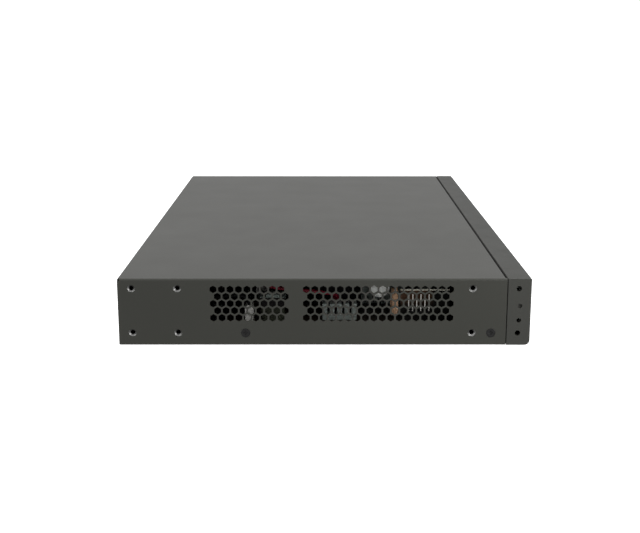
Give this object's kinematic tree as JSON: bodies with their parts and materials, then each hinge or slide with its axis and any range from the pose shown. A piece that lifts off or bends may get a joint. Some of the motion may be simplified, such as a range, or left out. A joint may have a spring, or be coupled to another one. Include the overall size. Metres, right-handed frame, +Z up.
{
  "type": "rackmount network switch",
  "caption": "Flat one-unit rackmount network switch: folded steel cover with hexagonal side vents, moulded front bezel, stacked jack ports, side fans and internal power supply.",
  "frame": {"origin": "middle of the footprint, on the surface that the switch stands on", "axes": "+X to the right seen from the front, -Y out of the front, +Z up"},
  "size_m": [0.44, 0.266, 0.044],
  "materials": {
    "cover_paint": "dark warm grey powder coat, fine satin texture",
    "bezel_plastic": "dark grey moulded plastic, fine spark texture",
    "zinc_steel": "zinc-plated sheet steel, satin",
    "connector_shield": "nickel-plated shield over black moulding",
    "screw_black": "black zinc plating",
    "green_board": "green solder mask",
    "brown_board": "brown paper laminate",
    "chip_epoxy": "black moulded epoxy",
    "heatsink_aluminium": "extruded aluminium, satin",
    "black_plastic": "black glass-filled moulding",
    "white_plastic": "natural white nylon",
    "clear_plastic": "clear moulded light pipe",
    "button_plastic": "mid grey moulding",
    "copper_winding": "enamelled copper wire",
    "choke_bobbin": "grey-green moulded bobbin round a ferrite core",
    "winding_tape": "black polyester winding tape over a ferrite core",
    "capacitor_sleeve": "dark sleeve, pale aluminium top",
    "insulating_film": "black polycarbonate film",
    "red_insulation": "dark red wire insulation",
    "black_insulation": "black wire insulation",
    "green_insulation": "green and yellow wire insulation"
  },
  "bodies": {
    "chassis": {"base_pan": "zinc_steel", "side_rail_left": "zinc_steel", "side_rail_right": "zinc_steel", "rear_panel": "zinc_steel", "top_cover": "cover_paint", "front_bezel": "bezel_plastic", "front_panel": "zinc_steel", "cover_screw_left_rear": "screw_black", "cover_screw_left_front": "screw_black", "cover_screw_right_rear": "screw_black", "cover_screw_right_front": "screw_black", "jack_block_left": "connector_shield", "jack_block_right": "connector_shield", "sfp_cage": "connector_shield", "console_jack": "connector_shield", "status_light_pipe": "clear_plastic", "mode_switch": "black_plastic", "reset_switch": "black_plastic", "main_board": "green_board", "switch_chip": "chip_epoxy", "switch_heatsink": "heatsink_aluminium", "phy_chip_left": "chip_epoxy", "phy_heatsink_left": "heatsink_aluminium", "phy_chip_right": "chip_epoxy", "phy_heatsink_right": "heatsink_aluminium", "processor_chip": "chip_epoxy", "memory_chip": "chip_epoxy", "supply_header": "white_plastic", "fan_header_front": "white_plastic", "fan_header_rear": "white_plastic", "mains_header": "white_plastic", "line_filter": "choke_bobbin", "rectifier_heatsink": "heatsink_aluminium", "bulk_capacitor": "capacitor_sleeve", "transformer": "winding_tape", "output_capacitor": "capacitor_sleeve", "output_heatsink": "heatsink_aluminium", "toroid_choke": "copper_winding", "control_board": "brown_board", "control_pins": "zinc_steel", "supply_board": "brown_board", "supply_insulator": "insulating_film", "mains_inlet": "black_plastic", "inlet_screw_left": "zinc_steel", "inlet_screw_right": "zinc_steel", "earth_screw": "zinc_steel", "live_lead": "black_insulation", "neutral_lead": "black_insulation", "earth_lead": "green_insulation", "supply_lead_positive": "red_insulation", "supply_lead_sense": "red_insulation", "supply_lead_negative": "black_insulation", "fan_frame_front": "black_plastic", "fan_lead_front": "black_insulation", "fan_frame_rear": "black_plastic", "fan_lead_rear": "black_insulation"},
    "mode_button": {"mode_button": "button_plastic"},
    "reset_button": {"reset_button": "button_plastic"},
    "fan_rotor_front": {"fan_rotor_front": "black_plastic"},
    "fan_rotor_rear": {"fan_rotor_rear": "black_plastic"}
  },
  "joints": [
    {"name": "mode_press", "type": "slide", "parent": "chassis", "child": "mode_button", "axis": [0, 1, 0], "range_m": [0, 0.001], "stiffness_N_per_m": 300},
    {"name": "reset_press", "type": "slide", "parent": "chassis", "child": "reset_button", "axis": [0, 1, 0], "range_m": [0, 0.001], "stiffness_N_per_m": 300},
    {"name": "front_fan_spin", "type": "hinge", "parent": "chassis", "child": "fan_rotor_front", "pos_m": [0.2074, -0.044, 0.0213], "axis": [1, 0, 0], "continuous": true},
    {"name": "rear_fan_spin", "type": "hinge", "parent": "chassis", "child": "fan_rotor_rear", "pos_m": [0.2074, 0.002, 0.0213], "axis": [1, 0, 0], "continuous": true}
  ]
}
